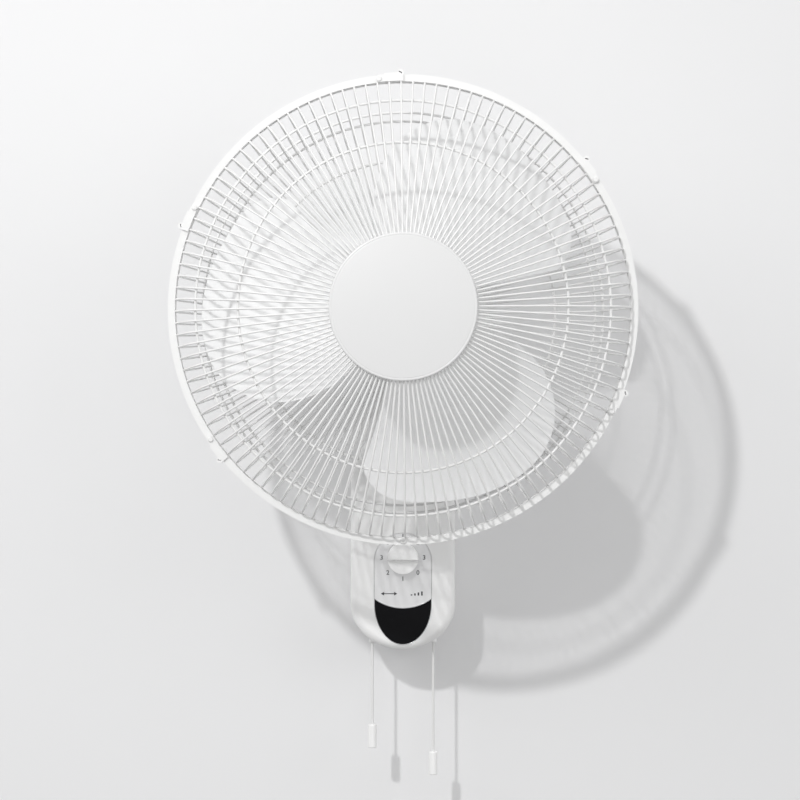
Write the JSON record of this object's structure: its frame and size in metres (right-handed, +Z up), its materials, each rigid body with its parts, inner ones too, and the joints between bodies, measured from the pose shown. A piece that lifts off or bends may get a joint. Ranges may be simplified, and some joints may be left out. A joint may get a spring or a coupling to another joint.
{
  "type": "wall mounted fan",
  "caption": "Wall mounted oscillating fan: round wire guard with rim clips, three blades, motor on a tilting neck, body with speed knob and pull cords.",
  "frame": {"origin": "centre of the wall plate's screw pattern, on the wall's face", "axes": "+Y into the wall, +Z up, +X to the right of a viewer facing the fan; the fan blows towards -Y"},
  "size_m": [0.45, 0.3375, 0.7109],
  "materials": {
    "body_plastic": "satin off-white moulded plastic",
    "cover_plastic": "satin off-white moulded plastic",
    "fascia": "silver-grey satin panel",
    "window": "black gloss window",
    "knob": "semi-gloss white moulding",
    "blade_plastic": "semi-gloss white moulding",
    "guard_wire": "white powder coat on steel wire",
    "steel": "plain zinc-plated steel",
    "screw_steel": "bright zinc-plated",
    "die_cast": "as-cast aluminium",
    "lamination": "varnished laminations",
    "copper": "enamelled copper",
    "bronze": "sintered bronze",
    "dark_plastic": "black moulded plastic",
    "switch_plastic": "natural moulded plastic",
    "grommet": "soft black",
    "cord": "braided white cord"
  },
  "bodies": {
    "base": {"wall_plate": "steel", "back_housing": "body_plastic", "front_housing": "body_plastic", "body_screws": "screw_steel", "lock_screw": "screw_steel", "cable_grommet": "grommet", "fascia_panel": "fascia", "display_window": "window", "speed_switch": "switch_plastic", "swing_switch": "switch_plastic", "cord_eyelets": "body_plastic", "terminal_block": "dark_plastic", "capacitor": "dark_plastic", "hinge_bracket": "steel", "tilt_pin": "screw_steel", "tilt_nut": "screw_steel"},
    "neck": {"neck_bracket": "die_cast", "neck_cover": "cover_plastic", "swing_pivot": "steel"},
    "head": {"rear_end_shield": "die_cast", "swing_bush": "bronze", "swing_motor": "steel", "motor_rear_cover": "cover_plastic", "motor_front_cover": "cover_plastic", "stator": "lamination", "windings": "copper", "front_end_shield": "die_cast", "motor_bearings": "bronze", "motor_screws": "screw_steel", "cover_screws": "screw_steel", "rear_guard_plate": "guard_wire", "rear_guard_nut": "cover_plastic", "rear_guard_wires": "guard_wire", "rear_guard_side_wires": "guard_wire", "rear_guard_rings": "guard_wire", "front_guard_wires": "guard_wire", "front_guard_side_wires": "guard_wire", "front_guard_rings": "guard_wire", "guard_ring": "cover_plastic", "rim_screw": "screw_steel", "clip_rivets": "screw_steel", "front_cap": "cover_plastic", "cap_back_plate": "guard_wire"},
    "blade": {"fan_blade": "blade_plastic", "blade_nut": "blade_plastic", "motor_shaft": "steel", "rotor": "lamination", "drive_pin": "steel"},
    "knob": {"speed_knob": "knob"},
    "speed_pull": {"speed_cord": "cord", "speed_bell": "body_plastic"},
    "swing_pull": {"swing_cord": "cord", "swing_bell": "body_plastic"},
    "crank": {"swing_crank": "dark_plastic"},
    "link": {"swing_link": "steel"},
    "clip_1": {"rim_clip_1": "cover_plastic"},
    "clip_2": {"rim_clip_2": "cover_plastic"},
    "clip_3": {"rim_clip_3": "cover_plastic"},
    "clip_4": {"rim_clip_4": "cover_plastic"},
    "clip_5": {"rim_clip_5": "cover_plastic"}
  },
  "joints": [
    {"name": "tilt", "type": "hinge", "parent": "base", "child": "neck", "pos_m": [0, -0.064, 0.11], "axis": [1, 0, 0], "range_deg": [-5, 20]},
    {"name": "swing", "type": "hinge", "parent": "neck", "child": "head", "pos_m": [0, -0.076, 0.19], "axis": [0, 0, 1], "range_deg": [-40, 40]},
    {"name": "blade_spin", "type": "hinge", "parent": "head", "child": "blade", "pos_m": [0, -0.17, 0.205], "axis": [0, 1, 0], "continuous": true},
    {"name": "speed_turn", "type": "hinge", "parent": "base", "child": "knob", "pos_m": [0, -0.095, -0.046], "axis": [0, -1, 0], "continuous": true},
    {"name": "speed_pull_slide", "type": "slide", "parent": "base", "child": "speed_pull", "axis": [0, 0, -1], "range_m": [0, 0.012], "stiffness_N_per_m": 300, "springref_m": -0.004},
    {"name": "swing_pull_slide", "type": "slide", "parent": "base", "child": "swing_pull", "axis": [0, 0, -1], "range_m": [0, 0.012], "stiffness_N_per_m": 300, "springref_m": -0.004},
    {"name": "swing_crank_turn", "type": "hinge", "parent": "head", "child": "crank", "pos_m": [0, -0.051, 0.178], "axis": [0, 0, 1], "range_deg": [-40, 40]},
    {"name": "swing_link_turn", "type": "hinge", "parent": "neck", "child": "link", "pos_m": [0.0125, -0.076, 0.1735], "axis": [0, 0, 1], "range_deg": [-40, 40]},
    {"name": "clip_1_open", "type": "hinge", "parent": "head", "child": "clip_1", "pos_m": [0.18388, -0.2695, 0.32903], "axis": [0, 1, 0], "range_deg": [0, 55]},
    {"name": "clip_2_open", "type": "hinge", "parent": "head", "child": "clip_2", "pos_m": [-0.19935, -0.2695, 0.30223], "axis": [0, 1, 0], "range_deg": [0, 55]},
    {"name": "clip_3_open", "type": "hinge", "parent": "head", "child": "clip_3", "pos_m": [-0.18388, -0.2695, 0.08097], "axis": [0, 1, 0], "range_deg": [0, 55]},
    {"name": "clip_4_open", "type": "hinge", "parent": "head", "child": "clip_4", "pos_m": [0.19935, -0.2695, 0.10777], "axis": [0, 1, 0], "range_deg": [0, 55]},
    {"name": "clip_5_open", "type": "hinge", "parent": "head", "child": "clip_5", "pos_m": [-0.02318, -0.2695, 0.42558], "axis": [0, -1, 0], "range_deg": [0, 55]}
  ],
  "couplings": [
    {"joint": "swing_crank_turn", "follows": "swing", "ratio": -1},
    {"joint": "swing_link_turn", "follows": "swing", "ratio": 1}
  ]
}
